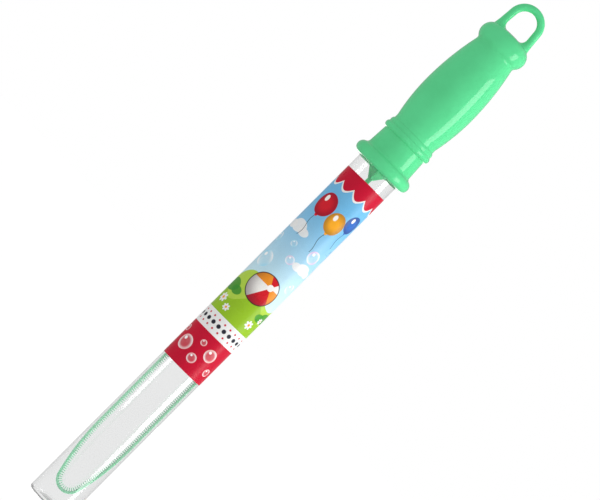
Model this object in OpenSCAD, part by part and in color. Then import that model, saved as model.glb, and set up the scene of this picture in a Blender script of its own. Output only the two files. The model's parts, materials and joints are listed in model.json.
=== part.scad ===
// Bubble wand: a clear tube for soap solution, closed by a screw-on handle that carries the wand.
// Millimetres, +Z up, origin at the middle of the tube's foot. The wand and the hanger lie in XZ.

/* [Tube] */
// Outside diameter of the clear tube
tube_d = 26.7; // [24:0.1:32]
// Wall of the tube
tube_wall = 0.7; // [0.5:0.05:1]
// Height of the tube from its foot to the rim of its neck
tube_h = 273.3; // [240:0.1:320]
// Height of the neck that the handle screws onto
neck_h = 18; // [14:0.5:20]
// How far the neck steps in from the tube on each side
neck_step = 0.4; // [0.2:0.05:0.6]
// Wall of the neck
neck_wall = 0.6; // [0.4:0.05:0.8]
// Radius of the heel between the side and the foot
heel_r = 1.6; // [1:0.1:2.5]
// Width of the flat ring that the tube stands on
foot_w = 2.6; // [1.5:0.1:4]
// How far the middle of the base is pushed up
push_up = 2.4; // [1:0.1:4]
// Thickness of the base
base_t = 1.1; // [0.8:0.1:1.6]

/* [Label] */
// Height of the wrap-round label
label_h = 141; // [100:1:150]
// Thickness of the label
label_t = 0.11; // [0.08:0.01:0.3]
// Bare tube between the label and the handle
label_gap = 9; // [4:0.1:20]

/* [Seal and stopper] */
// Thickness of the sealing washer
washer_t = 1.2; // [0.8:0.1:2]
// Thickness of the stopper's snap disc
disc_t = 2; // [1.4:0.1:3]
// How far the snap disc reaches past the handle's socket
snap = 0.7; // [0.4:0.05:1]
// Length of the stopper's spigot in the neck
spigot_h = 13.8; // [10:0.1:16]
// Wall of the spigot
spigot_wall = 1.2; // [0.8:0.1:2]
// Thickness of the stopper's floor
stopper_floor = 2; // [1.2:0.1:3]

/* [Wand] */
// Thickness of the flat wand
wand_t = 3; // [2:0.1:4]
// Height of the loop's tip above the foot
tip_lift = 10; // [8:0.5:16]
// Length of the loop
loop_len = 150; // [120:1:170]
// Radius of the loop's round ends
loop_end_r = 7.8; // [5:0.1:9]
// Length over which the loop widens from its end to its full width
loop_taper = 42; // [25:1:50]
// Width of the plain band round the loop
band_w = 1.5; // [1:0.1:2.5]
// Length of the comb teeth inside the band
tooth_len = 1.5; // [0.8:0.1:2.2]
// Distance between comb teeth
tooth_pitch = 1.25; // [1.1:0.05:2.5]
// Width of the stem
stem_w = 2.7; // [2:0.1:4]
// Height of the four-sided root under the stopper
root_h = 15.9; // [12:0.1:20]
// Diameter of the round tang pressed into the stopper
tang_d = 6; // [4:0.1:8]
// Length of the tang
tang_h = 8; // [5:0.1:9]

/* [Handle] */
// Depth from the handle's mouth to the seat of the snap disc
cap_depth = 21.6; // [19:0.1:26]
// Thinnest wall of the socket, just under the bead
socket_wall = 0.65; // [0.6:0.05:1.5]
// How much thicker the socket is at its mouth
socket_draft = 0.65; // [0.1:0.05:0.8]
// Height of the round rim at the mouth
rim_h = 7.6; // [5:0.1:9]
// How far the rim stands out from the socket
rim_out = 3.85; // [2.5:0.05:6]
// Radius between the rim and the socket
rim_fillet = 2.2; // [0.8:0.1:2.5]
// Wall outside the snap groove, which the large bead gives room for
bead_wall = 1.5; // [1:0.05:2]
// Radius of the large bead
bead_round = 2.3; // [2:0.1:3]
// How far the small bead stays below the large one
bead_drop = 0.82; // [0.4:0.02:1.2]
// Radius of the small bead
small_bead_round = 2.6; // [2.2:0.1:3]
// Distance from the large bead to the small one
bead_pitch = 2.8; // [2.2:0.1:3.4]
// Wall of the hollow grip
grip_wall = 1.3; // [0.8:0.05:1.6]
// Straight length between the small bead and the swell of the grip
grip_neck = 2.2; // [1:0.1:6]
// How far the grip swells out from there
grip_swell = 2.65; // [1:0.05:5]
// Length from the start of the swell to its widest place
grip_lower = 24.8; // [18:0.1:30]
// Length from the widest place to the waist
grip_upper = 34.9; // [28:0.1:45]
// How far the waist draws in from the widest place
waist_draw = 3.85; // [2:0.05:5]
// Radius between the waist and the end knob
waist_fillet = 2; // [1:0.1:3]
// Height of the knob's middle above the widest place
knob_rise = 41.1; // [38:0.1:52]
// How much slimmer the knob is than the widest place
knob_slim = 1.29; // [0.5:0.01:2]
// Radius of the knob's edge
knob_round = 7; // [5:0.1:7.5]
// Rise of the knob's domed top
dome_rise = 0.7; // [0.4:0.1:2]

/* [Hanger] */
// Diameter of the hanger's bar
hanger_bar = 4.3; // [3:0.1:5]
// Radius of the hanger's arch, at the middle of the bar
hanger_r = 8.85; // [7:0.05:9.5]
// Height of the arch's centre above the dome
hanger_rise = 9; // [7:0.1:14]
// Lean of the hanger's legs, in degrees
hanger_lean = 4.9; // [0:0.1:8]

/* [Fits] */
// Gap between the tube and the handle's socket
socket_gap = 0.25; // [0.15:0.05:0.5]
// Gap between the neck and what passes through it
neck_gap = 0.25; // [0.15:0.05:0.5]
// Gap round the snap disc in its groove
groove_gap = 0.2; // [0.1:0.05:0.4]
// Gap between the washer and the spigot
washer_gap = 0.15; // [0.1:0.05:0.3]
// Gap round the tang and under the label
close_gap = 0.04; // [0.02:0.01:0.08]

/* [Hidden] */
$fn = 96;
clear_plastic = [0.90, 0.92, 0.92, 0.4];
label_white = [0.94, 0.95, 0.97];
seal_white = [0.95, 0.95, 0.93];
mint = [0.38, 0.86, 0.59];
arc_steps = 12;
long_arc_steps = 24;
tooth_share = 0.5;
tooth_tip_share = 0.6;

// Tube
tube_r = tube_d / 2;
bore_r = tube_r - tube_wall;
neck_r = tube_r - neck_step;
neck_bore_r = neck_r - neck_wall;
neck_z = tube_h - neck_h;
shoulder_z = neck_z - neck_step;
foot_r = tube_r - heel_r;
push_r = foot_r - foot_w;

// Stack on the rim: washer, snap disc, handle
seat_z = tube_h + washer_t;
mouth_z = seat_z - cap_depth;
label_top = mouth_z - label_gap;

// Stopper and washer
spigot_r = neck_bore_r - neck_gap;
spigot_z = seat_z - spigot_h;
tang_bore_r = tang_d / 2 + close_gap;
socket_r = tube_r + socket_gap;
disc_r = socket_r + snap;
boss_r = tang_bore_r + spigot_wall;
washer_in_r = spigot_r + washer_gap;
washer_out_r = socket_r - washer_gap;

// Wand
loop_half = neck_bore_r - neck_gap;
root_half = spigot_r - neck_gap;
loop_top = tip_lift + loop_len;
root_z = spigot_z - root_h;
// The flank arc touches the end circle and runs out parallel to the stem at the full width.
flank_run = loop_taper - loop_end_r;
flank_r = (pow(loop_half, 2) + pow(flank_run, 2) - pow(loop_end_r, 2)) / (2 * (loop_half - loop_end_r));
flank_x = loop_half - flank_r;
flank_turn = atan2(flank_run, -flank_x);
straight_len = loop_len - 2 * loop_taper;

// Handle, as heights above its mouth and radii from its axis
groove_r = disc_r + groove_gap;
ledge_r = socket_r - snap;
socket_top_r = socket_r + socket_wall;
socket_foot_r = socket_top_r + socket_draft;
rim_round = rim_h / 2;
rim_r = socket_foot_r + rim_out - rim_round;
fillet_r = socket_foot_r + rim_fillet;
fillet_h = rim_round + sqrt(pow(rim_round + rim_fillet, 2) - pow(fillet_r - rim_r, 2));
fillet_turn = atan2(fillet_h - rim_round, fillet_r - rim_r);
bead_r = groove_r + bead_wall - bead_round;
bead_h = cap_depth + disc_t / 2;
small_bead_r = groove_r + bead_wall - bead_drop - small_bead_round;
small_bead_h = bead_h + bead_pitch;
grip_neck_r = ledge_r + grip_wall;
small_bead_turn = acos((grip_neck_r - small_bead_r) / small_bead_round);
swell_h = small_bead_h + small_bead_round * sin(small_bead_turn) + grip_neck;
belly_h = swell_h + grip_lower;
belly_r = grip_neck_r + grip_swell;
lower_arc_r = (pow(grip_lower, 2) + pow(grip_swell, 2)) / (2 * grip_swell);
upper_arc_r = (pow(grip_upper, 2) + pow(waist_draw, 2)) / (2 * waist_draw);
lower_x = belly_r - lower_arc_r;
upper_x = belly_r - upper_arc_r;
waist_r = belly_r - waist_draw;
knob_r = belly_r - knob_slim - knob_round;
knob_h = belly_h + knob_rise;
// The dome runs smoothly on from the knob's edge.
dome_r = (pow(knob_r, 2) + pow(knob_round + dome_rise, 2) - pow(knob_round, 2)) / (2 * dome_rise);
dome_h = knob_h + knob_round + dome_rise;
dome_turn = atan2(knob_h - dome_h + dome_r, knob_r);
cavity_r = waist_r - grip_wall;
cavity_h = knob_h + grip_wall;
cavity_round = knob_round - grip_wall * 2;
hanger_h = dome_h + hanger_rise;
hanger_sink = hanger_bar;
leg_h = (hanger_rise + hanger_sink) / cos(hanger_lean) + hanger_r * tan(hanger_lean);
// Where the two beads cross
bead_gap = norm([small_bead_r - bead_r, bead_pitch]);
bead_line = atan2(bead_pitch, small_bead_r - bead_r);
bead_cross = corner(bead_round, bead_gap, small_bead_round);
small_bead_cross = corner(small_bead_round, bead_gap, bead_round);
// The waist's fillet touches the grip's upper arc and the knob from outside.
waist_gap = norm([knob_r - upper_x, knob_rise]);
waist_reach = upper_arc_r + waist_fillet;
waist_turn = atan2(knob_rise, knob_r - upper_x) - corner(waist_reach, waist_gap, knob_round + waist_fillet);
waist_x = upper_x + waist_reach * cos(waist_turn);
waist_h = belly_h + waist_reach * sin(waist_turn);
knob_turn = atan2(knob_h - waist_h, waist_x - knob_r);

// The angle between two sides of a triangle, by their lengths and that of the side across from it
function corner(a, b, across) = acos((pow(a, 2) + pow(b, 2) - pow(across, 2)) / (2 * a * b));

// Points along an arc
function arc(x, y, r, from, to, steps) = [
    for (i = [0:steps]) let (a = from + (to - from) * i / steps) [x + r * cos(a), y + r * sin(a)]];

// Points of a shallow dome that rises over the axis, from the axis out to a radius
function dome_points(rise, reach, h, steps) = let (
    r = (pow(reach, 2) + pow(rise, 2)) / (2 * rise),
    turn = asin(reach / r)
) [for (i = [0:steps]) let (a = turn * i / steps) [r * sin(a), h + rise - r + r * cos(a)]];

module tube() {
    inner_heel = heel_r - tube_wall / 2;
    outside = concat(
        dome_points(push_up, push_r, 0, arc_steps),
        arc(foot_r, heel_r, heel_r, -90, 0, arc_steps),
        [[tube_r, shoulder_z], [neck_r, neck_z], [neck_r, tube_h]]);
    inside = concat(
        dome_points(push_up, push_r, base_t, arc_steps),
        arc(bore_r - inner_heel, base_t + inner_heel, inner_heel, -90, 0, arc_steps),
        [[bore_r, shoulder_z], [neck_bore_r, neck_z], [neck_bore_r, tube_h]]);
    color(clear_plastic)
        rotate_extrude()
            polygon(concat(outside, [for (i = [len(inside) - 1:-1:0]) inside[i]]));
}

module label() {
    label_r = tube_r + close_gap;
    color(label_white)
        translate([0, 0, label_top - label_h])
            rotate_extrude()
                translate([label_r, 0])
                    square([label_t, label_h]);
}

module seal_washer() {
    color(seal_white)
        translate([0, 0, tube_h])
            rotate_extrude()
                translate([washer_in_r, 0])
                    square([washer_out_r - washer_in_r, washer_t]);
}

// A cup that hangs in the neck: snap disc, spigot, floor, and a blind boss for the wand's tang
module stopper() {
    floor_z = spigot_z + stopper_floor;
    disc_z = seat_z + disc_t;
    spigot_in_r = spigot_r - spigot_wall;
    tang_z = spigot_z + tang_h + close_gap;
    boss_z = tang_z + spigot_wall;
    color(mint)
        rotate_extrude()
            polygon([
                [tang_bore_r, spigot_z], [spigot_r, spigot_z], [spigot_r, seat_z], [disc_r, seat_z],
                [disc_r, disc_z], [spigot_in_r, disc_z], [spigot_in_r, floor_z], [boss_r, floor_z],
                [boss_r, boss_z], [0, boss_z], [0, tang_z], [tang_bore_r, tang_z]]);
}

// One side of the loop, from its lower end to its upper end, drawn in from the outline by an inset.
// Each stretch is an arc [x, y, radius, from, to]; the straight leg is a pair of heights.
function side(inset) = [
    [0, tip_lift + loop_end_r, loop_end_r - inset, -90, -flank_turn],
    [flank_x, tip_lift + loop_taper, flank_r - inset, -flank_turn, 0],
    [flank_x, loop_top - loop_taper, flank_r - inset, 0, flank_turn],
    [0, loop_top - loop_end_r, loop_end_r - inset, flank_turn, 90]];

function mirrored(points) = [for (i = [len(points) - 1:-1:0]) [-points[i].x, points[i].y]];

function both_sides(points) = concat(points, mirrored(points));

function outline(inset) = both_sides([
    for (s = side(inset)) each arc(s[0], s[1], s[2], s[3], s[4], long_arc_steps)]);

// A comb tooth on the band's inner edge: four points, where out is the way the edge faces
function tooth(foot, out) = let (
    along = [-out.y, out.x] * tooth_pitch * tooth_share / 2,
    tip = foot - out * tooth_len
) [foot - along, tip - along * tooth_tip_share, tip + along * tooth_tip_share, foot + along];

function arc_teeth(s) = let (n = round(s[2] * (s[4] - s[3]) * PI / 180 / tooth_pitch)) [
    for (i = [0:n - 1])
        let (a = s[3] + (s[4] - s[3]) * (i + 1 / 2) / n, out = [cos(a), sin(a)])
            each tooth([s[0], s[1]] + out * s[2], out)];

function leg_teeth(inset) = let (n = round(straight_len / tooth_pitch)) [
    for (i = [0:n - 1])
        each tooth([loop_half - inset, tip_lift + loop_taper + straight_len * (i + 1 / 2) / n], [1, 0])];

function comb(inset) = let (s = side(inset)) both_sides(
    concat(arc_teeth(s[0]), arc_teeth(s[1]), leg_teeth(inset), arc_teeth(s[2]), arc_teeth(s[3])));

// A four-sided root with an edge to the front, as two roof shapes that cross
module root() {
    half = root_half / sqrt(2);
    translate([0, 0, root_z])
        rotate([0, 0, 45])
            intersection_for (turn = [0, 90])
                rotate([90, 0, turn])
                    linear_extrude(2 * half, center = true)
                        polygon([[0, 0], [half, root_h], [-half, root_h]]);
}

module wand() {
    stem_z = loop_top - band_w;
    stem_h = spigot_z - root_h / 2 - stem_z;
    color(mint) {
        rotate([90, 0, 0])
            linear_extrude(wand_t, center = true) {
                difference() {
                    polygon(outline(0));
                    polygon(comb(band_w));
                }
                translate([-stem_w / 2, stem_z])
                    square([stem_w, stem_h]);
            }
        root();
        translate([0, 0, spigot_z])
            cylinder(h = tang_h, d = tang_d);
    }
}

// The handle's section: up the outside from the mouth to the top, then down the inside
module handle_section() {
    lower_turn = asin(grip_lower / lower_arc_r);
    upper_turn = asin(grip_upper / upper_arc_r);
    bead_foot = acos((socket_top_r - bead_r) / bead_round);
    groove_low = cap_depth - groove_gap;
    groove_high = cap_depth + disc_t + groove_gap;
    outside = concat(
        arc(rim_r, rim_round, rim_round, -90, fillet_turn, arc_steps),
        arc(fillet_r, fillet_h, rim_fillet, 180 + fillet_turn, 180, arc_steps),
        arc(bead_r, bead_h, bead_round, -bead_foot, bead_line - bead_cross, arc_steps),
        arc(small_bead_r, small_bead_h, small_bead_round, bead_line - 180 + small_bead_cross,
            small_bead_turn, arc_steps),
        arc(lower_x, belly_h, lower_arc_r, -lower_turn, 0, arc_steps),
        arc(upper_x, belly_h, upper_arc_r, 0, waist_turn, arc_steps),
        arc(waist_x, waist_h, waist_fillet, 180 + waist_turn, 180 - knob_turn, arc_steps),
        arc(knob_r, knob_h, knob_round, -knob_turn, dome_turn, long_arc_steps),
        arc(0, dome_h - dome_r, dome_r, dome_turn, 90, arc_steps));
    inside = concat(
        [[0, cavity_h]],
        arc(cavity_r - cavity_round, cavity_h - cavity_round, cavity_round, 90, 0, arc_steps),
        arc(upper_x, belly_h, upper_arc_r - grip_wall, upper_turn, 0, arc_steps),
        arc(lower_x, belly_h, lower_arc_r - grip_wall, 0, -lower_turn, arc_steps),
        [[ledge_r, groove_high], [groove_r, groove_high], [groove_r, groove_low], [socket_r, groove_low],
            [socket_r, 0]]);
    polygon(concat(outside, inside));
}

module hanger_leg(side) {
    rotate([0, side * (90 - hanger_lean), 0])
        translate([0, 0, hanger_r])
            rotate([0, side * 90, 0])
                cylinder(h = leg_h, d = hanger_bar);
}

module hanger() {
    translate([0, 0, hanger_h]) {
        rotate([90, 0, 0])
            rotate([0, 0, hanger_lean])
                rotate_extrude(angle = 180 - 2 * hanger_lean)
                    translate([hanger_r, 0])
                        circle(d = hanger_bar);
        for (side = [-1, 1])
            hanger_leg(side);
    }
}

module handle() {
    color(mint)
        translate([0, 0, mouth_z]) {
            rotate_extrude()
                handle_section();
            hanger();
        }
}

tube();
label();
seal_washer();
stopper();
wand();
handle();
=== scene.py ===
import json
import math

import bmesh
import bpy
from mathutils import Matrix, Vector

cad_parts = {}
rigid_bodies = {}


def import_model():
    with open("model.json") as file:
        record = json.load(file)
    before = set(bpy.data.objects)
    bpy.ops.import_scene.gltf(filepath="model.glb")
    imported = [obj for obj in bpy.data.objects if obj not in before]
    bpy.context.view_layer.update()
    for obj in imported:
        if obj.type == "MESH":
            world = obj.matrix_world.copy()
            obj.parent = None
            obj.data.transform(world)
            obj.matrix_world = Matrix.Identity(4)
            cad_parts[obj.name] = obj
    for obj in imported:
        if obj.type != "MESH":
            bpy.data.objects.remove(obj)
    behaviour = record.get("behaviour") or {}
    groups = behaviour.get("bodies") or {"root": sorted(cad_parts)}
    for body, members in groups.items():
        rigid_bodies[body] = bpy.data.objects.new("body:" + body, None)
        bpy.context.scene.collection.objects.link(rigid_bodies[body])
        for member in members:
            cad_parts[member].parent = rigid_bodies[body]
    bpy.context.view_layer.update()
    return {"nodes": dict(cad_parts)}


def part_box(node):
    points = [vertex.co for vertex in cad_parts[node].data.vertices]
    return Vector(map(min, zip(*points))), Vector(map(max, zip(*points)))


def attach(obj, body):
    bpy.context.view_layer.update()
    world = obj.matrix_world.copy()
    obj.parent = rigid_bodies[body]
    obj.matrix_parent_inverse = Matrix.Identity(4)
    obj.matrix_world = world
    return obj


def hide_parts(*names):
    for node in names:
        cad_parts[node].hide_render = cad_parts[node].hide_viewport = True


for stray in [o for o in bpy.data.objects if o.name in ("Cube", "Light", "Camera")]:
    bpy.data.objects.remove(stray, do_unlink=True)

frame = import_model()
scene = bpy.context.scene
mm = 0.001
fullWhite = (1.0, 1.0, 1.0, 1.0)
print("frame loaded:", sorted(frame["nodes"]))


# Lines and sections, as (radius, height) pairs

def arcPoints(x, y, r, start, end, steps):
    turns = [math.radians(start + (end - start) * i / steps) for i in range(steps + 1)]
    return [(x + r * math.cos(a), y + r * math.sin(a)) for a in turns]


def domePoints(rise, reach, height, steps):
    r = (reach ** 2 + rise ** 2) / (2 * rise)
    turn = math.asin(reach / r)
    return [(r * math.sin(turn * i / steps), height + rise - r + r * math.cos(turn * i / steps))
            for i in range(steps + 1)]


def evenPoints(points, spacing):
    lengths = [0.0]
    for a, b in zip(points, points[1:]):
        lengths.append(lengths[-1] + math.dist(a, b))
    count = max(2, round(lengths[-1] / spacing))
    even = []
    at = 0
    for i in range(count + 1):
        want = lengths[-1] * i / count
        while at < len(points) - 2 and lengths[at + 1] < want:
            at += 1
        span = lengths[at + 1] - lengths[at]
        share = min(1.0, (want - lengths[at]) / span) if span else 0.0
        a, b = points[at], points[at + 1]
        even.append((a[0] + (b[0] - a[0]) * share, a[1] + (b[1] - a[1]) * share))
    return even


def soften(points, spacing, passes):
    # Each pass draws a point towards its neighbours, so that corners turn into small rounds.
    line = evenPoints(points, spacing)
    for _ in range(passes):
        middle = [((a[0] + 2 * b[0] + c[0]) / 4, (a[1] + 2 * b[1] + c[1]) / 4)
                  for a, b, c in zip(line, line[1:], line[2:])]
        line = [line[0]] + middle + [line[-1]]
    return line


def lathe(bm, section, segments):
    turns = [2 * math.pi * i / segments for i in range(segments)]
    rings = []
    for r, z in section:
        if r < 1e-7:
            rings.append([bm.verts.new((0.0, 0.0, z))])
        else:
            rings.append([bm.verts.new((r * math.cos(a), r * math.sin(a), z)) for a in turns])
    for low, high in zip(rings, rings[1:] + rings[:1]):
        if len(low) == 1 and len(high) == 1:
            continue
        for i in range(segments):
            j = (i + 1) % segments
            corners = []
            for v in (low[i % len(low)], low[j % len(low)], high[j % len(high)], high[i % len(high)]):
                if v not in corners:
                    corners.append(v)
            bm.faces.new(corners)


def loft(bm, rings):
    # Rings of equal count, joined in turn, with a face over each end
    loops = [[bm.verts.new(p) for p in ring] for ring in rings]
    for low, high in zip(loops, loops[1:]):
        for i in range(len(low)):
            j = (i + 1) % len(low)
            bm.faces.new((low[i], low[j], high[j], high[i]))
    bm.faces.new(loops[0][::-1])
    bm.faces.new(loops[-1])


def pieceFrom(bm, name, material, crease=38.0):
    bmesh.ops.recalc_face_normals(bm, faces=bm.faces)
    for face in bm.faces:
        face.smooth = True
    for edge in bm.edges:
        edge.smooth = len(edge.link_faces) == 2 and edge.calc_face_angle() < math.radians(crease)
    mesh = bpy.data.meshes.new(name)
    bm.to_mesh(mesh)
    bm.free()
    mesh.materials.append(material)
    piece = bpy.data.objects.new(name, mesh)
    scene.collection.objects.link(piece)
    return piece


def settle(piece, body, slot, *nodes):
    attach(piece, body)
    if nodes:
        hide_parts(*nodes)
    print("piece", piece.name, "on", body, len(piece.data.polygons), "faces")


# Node trees, for shaders and for geometry

def feed(tree, socket, value):
    if isinstance(value, bpy.types.NodeSocket):
        tree.links.new(value, socket)
    else:
        socket.default_value = value


def addNode(tree, kind, values=None, **settings):
    node = tree.nodes.new(kind)
    for key, value in settings.items():
        setattr(node, key, value)
    for key, value in (values or {}).items():
        feed(tree, node.inputs[key], value)
    return node


def maths(tree, operation, a, b=0.0, c=0.0, clamp=False):
    node = addNode(tree, "ShaderNodeMath", {0: a, 1: b, 2: c}, operation=operation, use_clamp=clamp)
    return node.outputs[0]


def mixed(tree, factor, a, b, blend="MIX"):
    node = addNode(tree, "ShaderNodeMix", {0: factor, 6: a, 7: b}, data_type="RGBA", blend_type=blend)
    return node.outputs[2]


def ranged(tree, value, fromLow, fromHigh, toLow, toHigh, smooth=False):
    node = addNode(tree, "ShaderNodeMapRange",
                   {0: value, 1: fromLow, 2: fromHigh, 3: toLow, 4: toHigh},
                   interpolation_type="SMOOTHSTEP" if smooth else "LINEAR")
    return node.outputs[0]


def newGroup(name, inputs, outputs, kind="ShaderNodeTree"):
    # An input is told by its first value or, where it has none, by the kind of its socket.
    group = bpy.data.node_groups.new(name, kind)
    for label, first in inputs.items():
        if isinstance(first, str):
            group.interface.new_socket(label, in_out="INPUT", socket_type="NodeSocket" + first)
            continue
        sort = "Float" if isinstance(first, float) else "Vector" if len(first) == 3 else "Color"
        socket = group.interface.new_socket(label, in_out="INPUT", socket_type="NodeSocket" + sort)
        socket.default_value = first
    for label, sort in outputs.items():
        group.interface.new_socket(label, in_out="OUTPUT", socket_type="NodeSocket" + sort)
    return group, group.nodes.new("NodeGroupInput").outputs, group.nodes.new("NodeGroupOutput").inputs


def useGroup(tree, group, values):
    return addNode(tree, "ShaderNodeGroup", values, node_tree=group).outputs


# Shader groups that more than one material uses

def makeMouldedSkin():
    group, given, out = newGroup(
        "mouldedSkin", {"Vector": "Vector", "Flow Scale": 60.0, "Grain Scale": 2600.0, "Roughness": 0.2},
        {"Shade": "Float", "Roughness": "Float", "Height": "Float"})
    flow = addNode(group, "ShaderNodeTexNoise", {
        "Vector": given["Vector"], "Scale": given["Flow Scale"], "Detail": 3.0, "Roughness": 0.55})
    grain = addNode(group, "ShaderNodeTexNoise", {
        "Vector": given["Vector"], "Scale": given["Grain Scale"], "Detail": 2.0, "Roughness": 0.5})
    feed(group, out["Shade"], ranged(group, flow.outputs[0], 0.3, 0.7, 0.0, 1.0, True))
    wear = ranged(group, flow.outputs[0], 0.35, 0.65, 0.85, 1.2)
    feed(group, out["Roughness"], maths(group, "MULTIPLY", given["Roughness"], wear))
    feed(group, out["Height"], maths(group, "MULTIPLY_ADD", flow.outputs[0], 4.0, grain.outputs[0]))
    return group


def makeScuffs():
    group, given, out = newGroup(
        "scuffs", {"Vector": "Vector", "Scale": 900.0, "Stretch": (1.0, 1.0, 0.06), "Amount": 0.5},
        {"Mask": "Float"})
    long = addNode(group, "ShaderNodeVectorMath", {0: given["Vector"], 1: given["Stretch"]},
                   operation="MULTIPLY")
    lines = addNode(group, "ShaderNodeTexNoise", {
        "Vector": long.outputs[0], "Scale": given["Scale"], "Detail": 4.0, "Roughness": 0.6,
        "Distortion": 0.4})
    patches = addNode(group, "ShaderNodeTexNoise", {
        "Vector": given["Vector"], "Scale": 45.0, "Detail": 1.0})
    thin = ranged(group, lines.outputs[0], 0.6, 0.68, 0.0, 1.0, True)
    where = ranged(group, patches.outputs[0], 0.42, 0.62, 0.0, 1.0, True)
    mask = maths(group, "MULTIPLY", thin, where)
    feed(group, out["Mask"], maths(group, "MULTIPLY", mask, given["Amount"]))
    return group


mouldedSkin = makeMouldedSkin()
scuffs = makeScuffs()


def newMaterial(name):
    material = bpy.data.materials.new(name)
    material.use_nodes = True
    tree = material.node_tree
    principled = tree.nodes["Principled BSDF"]
    coords = addNode(tree, "ShaderNodeTexCoord")
    return material, tree, principled, coords.outputs


def surfaceFinish(tree, principled, roughness, bump, depth, height):
    feed(tree, principled.inputs["Roughness"], roughness)
    relief = addNode(tree, "ShaderNodeBump", {"Strength": bump, "Distance": depth, "Height": height})
    feed(tree, principled.inputs["Normal"], relief.outputs[0])


def mintPlastic(name, deep, light, roughness, flowScale, scuffAmount, bump, seam=None, deepStemPaintedPaleLoop=None):
    material, tree, principled, coords = newMaterial(name)
    skin = useGroup(tree, mouldedSkin, {
        "Vector": coords["Object"], "Flow Scale": flowScale, "Roughness": roughness})
    marks = useGroup(tree, scuffs, {"Vector": coords["Object"], "Amount": scuffAmount})
    shade = mixed(tree, skin["Shade"], deep, light)
    height = skin["Height"]
    place = addNode(tree, "ShaderNodeSeparateXYZ", {0: coords["Object"]})
    if deepStemPaintedPaleLoop:
        # The colour turns deeper up the stem, where the moulding grows thick; the paler mint below it is
        # partly painted light.
        climb = ranged(tree, place.outputs[2], deepStemPaintedPaleLoop["low"], deepStemPaintedPaleLoop["high"], 0.0, 1.0, True)
        shade = mixed(tree, climb, shade, deepStemPaintedPaleLoop["colour"])
    if seam:
        # The mould's parting line runs up both sides, where the halves met.
        aside = maths(tree, "ABSOLUTE", place.outputs[1])
        line = ranged(tree, aside, seam["flat"], seam["half"], seam["height"], 0.0, True)
        height = maths(tree, "ADD", height, line)
    feed(tree, principled.inputs["Base Color"], shade)
    principled.inputs["IOR"].default_value = 1.49
    principled.inputs["Specular IOR Level"].default_value = 0.3
    worn = maths(tree, "MULTIPLY_ADD", marks["Mask"], 0.25, skin["Roughness"], clamp=True)
    surfaceFinish(tree, principled, worn, bump, 0.04 * mm, height)
    return material


def clearPlastic(name, tint, palest, roughness, bounces, faded):
    material, tree, principled, coords = newMaterial(name)
    skin = useGroup(tree, mouldedSkin, {
        "Vector": coords["Object"], "Flow Scale": 38.0, "Grain Scale": 420.0, "Roughness": roughness})
    marks = useGroup(tree, scuffs, {"Vector": coords["Object"], "Amount": 0.6})
    feed(tree, principled.inputs["Base Color"], mixed(tree, skin["Shade"], tint, palest))
    principled.inputs["IOR"].default_value = 1.5
    principled.inputs["Transmission Weight"].default_value = 1.0
    worn = maths(tree, "MULTIPLY_ADD", marks["Mask"], 0.06, skin["Roughness"], clamp=True)
    surfaceFinish(tree, principled, worn, 0.05, 0.02 * mm, skin["Height"])
    # Light that has bounced to and fro in the wall goes on through it, a little dimmed.
    path = addNode(tree, "ShaderNodeLightPath").outputs
    spent = maths(tree, "GREATER_THAN", path["Ray Depth"], bounces + 0.5)
    dimmed = addNode(tree, "ShaderNodeBsdfTransparent", {"Color": faded})
    wall = addNode(tree, "ShaderNodeMixShader", {
        0: spent, 1: principled.outputs[0], 2: dimmed.outputs[0]})
    # Light from the lamps and the room passes straight through to what is inside.
    passing = maths(tree, "MAXIMUM", path["Is Shadow Ray"], path["Is Diffuse Ray"])
    through = addNode(tree, "ShaderNodeBsdfTransparent", {"Color": tint})
    surface = addNode(tree, "ShaderNodeMixShader", {
        0: passing, 1: wall.outputs[0], 2: through.outputs[0]})
    tree.links.new(surface.outputs[0], tree.nodes["Material Output"].inputs["Surface"])
    return material


# Clear tube: a drawn sleeve with a pushed-up base, a rolled heel and a stepped neck

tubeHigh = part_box("tube")[1]
tube = {
    "radius": tubeHigh.x, "height": tubeHigh.z, "wall": 0.7 * mm, "base": 1.1 * mm,
    "neckHeight": 18.0 * mm, "neckStep": 0.4 * mm, "neckWall": 0.6 * mm, "stepEase": 0.1 * mm,
    "heel": 1.6 * mm, "foot": 2.6 * mm, "pushUp": 2.4 * mm, "segments": 192, "ringStep": 10.0 * mm,
    "gate": 1.6 * mm, "gateDepth": 0.5 * mm, "gateEdge": 0.2 * mm,
}


def tubeSection():
    r = tube["radius"]
    bore = r - tube["wall"]
    neck = r - tube["neckStep"]
    neckBore = neck - tube["neckWall"]
    neckZ = tube["height"] - tube["neckHeight"]
    shoulderZ = neckZ - tube["neckStep"]
    footR = r - tube["heel"]
    pushR = footR - tube["foot"]
    inHeel = tube["heel"] - tube["wall"] / 2
    lip = tube["neckWall"] / 2
    gate, ease = tube["gate"], tube["stepEase"]
    gateZ = tube["pushUp"] - tube["gateDepth"]
    ringHeights = [tube["ringStep"] * i for i in range(1, int(shoulderZ / tube["ringStep"]) + 1)]
    # The mould's gate leaves a shallow dimple in the middle of the base.
    outside = [(0.0, gateZ), (gate * 0.8, gateZ), (gate, tube["pushUp"] - tube["gateEdge"])]
    outside += [p for p in domePoints(tube["pushUp"], pushR, 0.0, 24) if p[0] > gate * 1.2]
    outside += arcPoints(footR, tube["heel"], tube["heel"], -90, 0, 10)
    outside += [(r, z) for z in ringHeights]
    outside += [(r, shoulderZ), (r - 0.8 * ease, shoulderZ + 1.6 * ease),
                (neck + 0.5 * ease, neckZ - 0.6 * ease), (neck, neckZ + ease)]
    outside += arcPoints(neck - lip, tube["height"] - lip, lip, 0, 90, 6)
    inside = arcPoints(neckBore + lip, tube["height"] - lip, lip, 90, 180, 6)[1:]
    inside += [(neckBore, neckZ), (bore, shoulderZ)]
    inside += [(bore, z) for z in ringHeights[::-1]]
    inside += arcPoints(bore - inHeel, tube["base"] + inHeel, inHeel, 0, -90, 10)
    inside += domePoints(tube["pushUp"], pushR, tube["base"], 20)[::-1]
    return outside + inside


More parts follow.
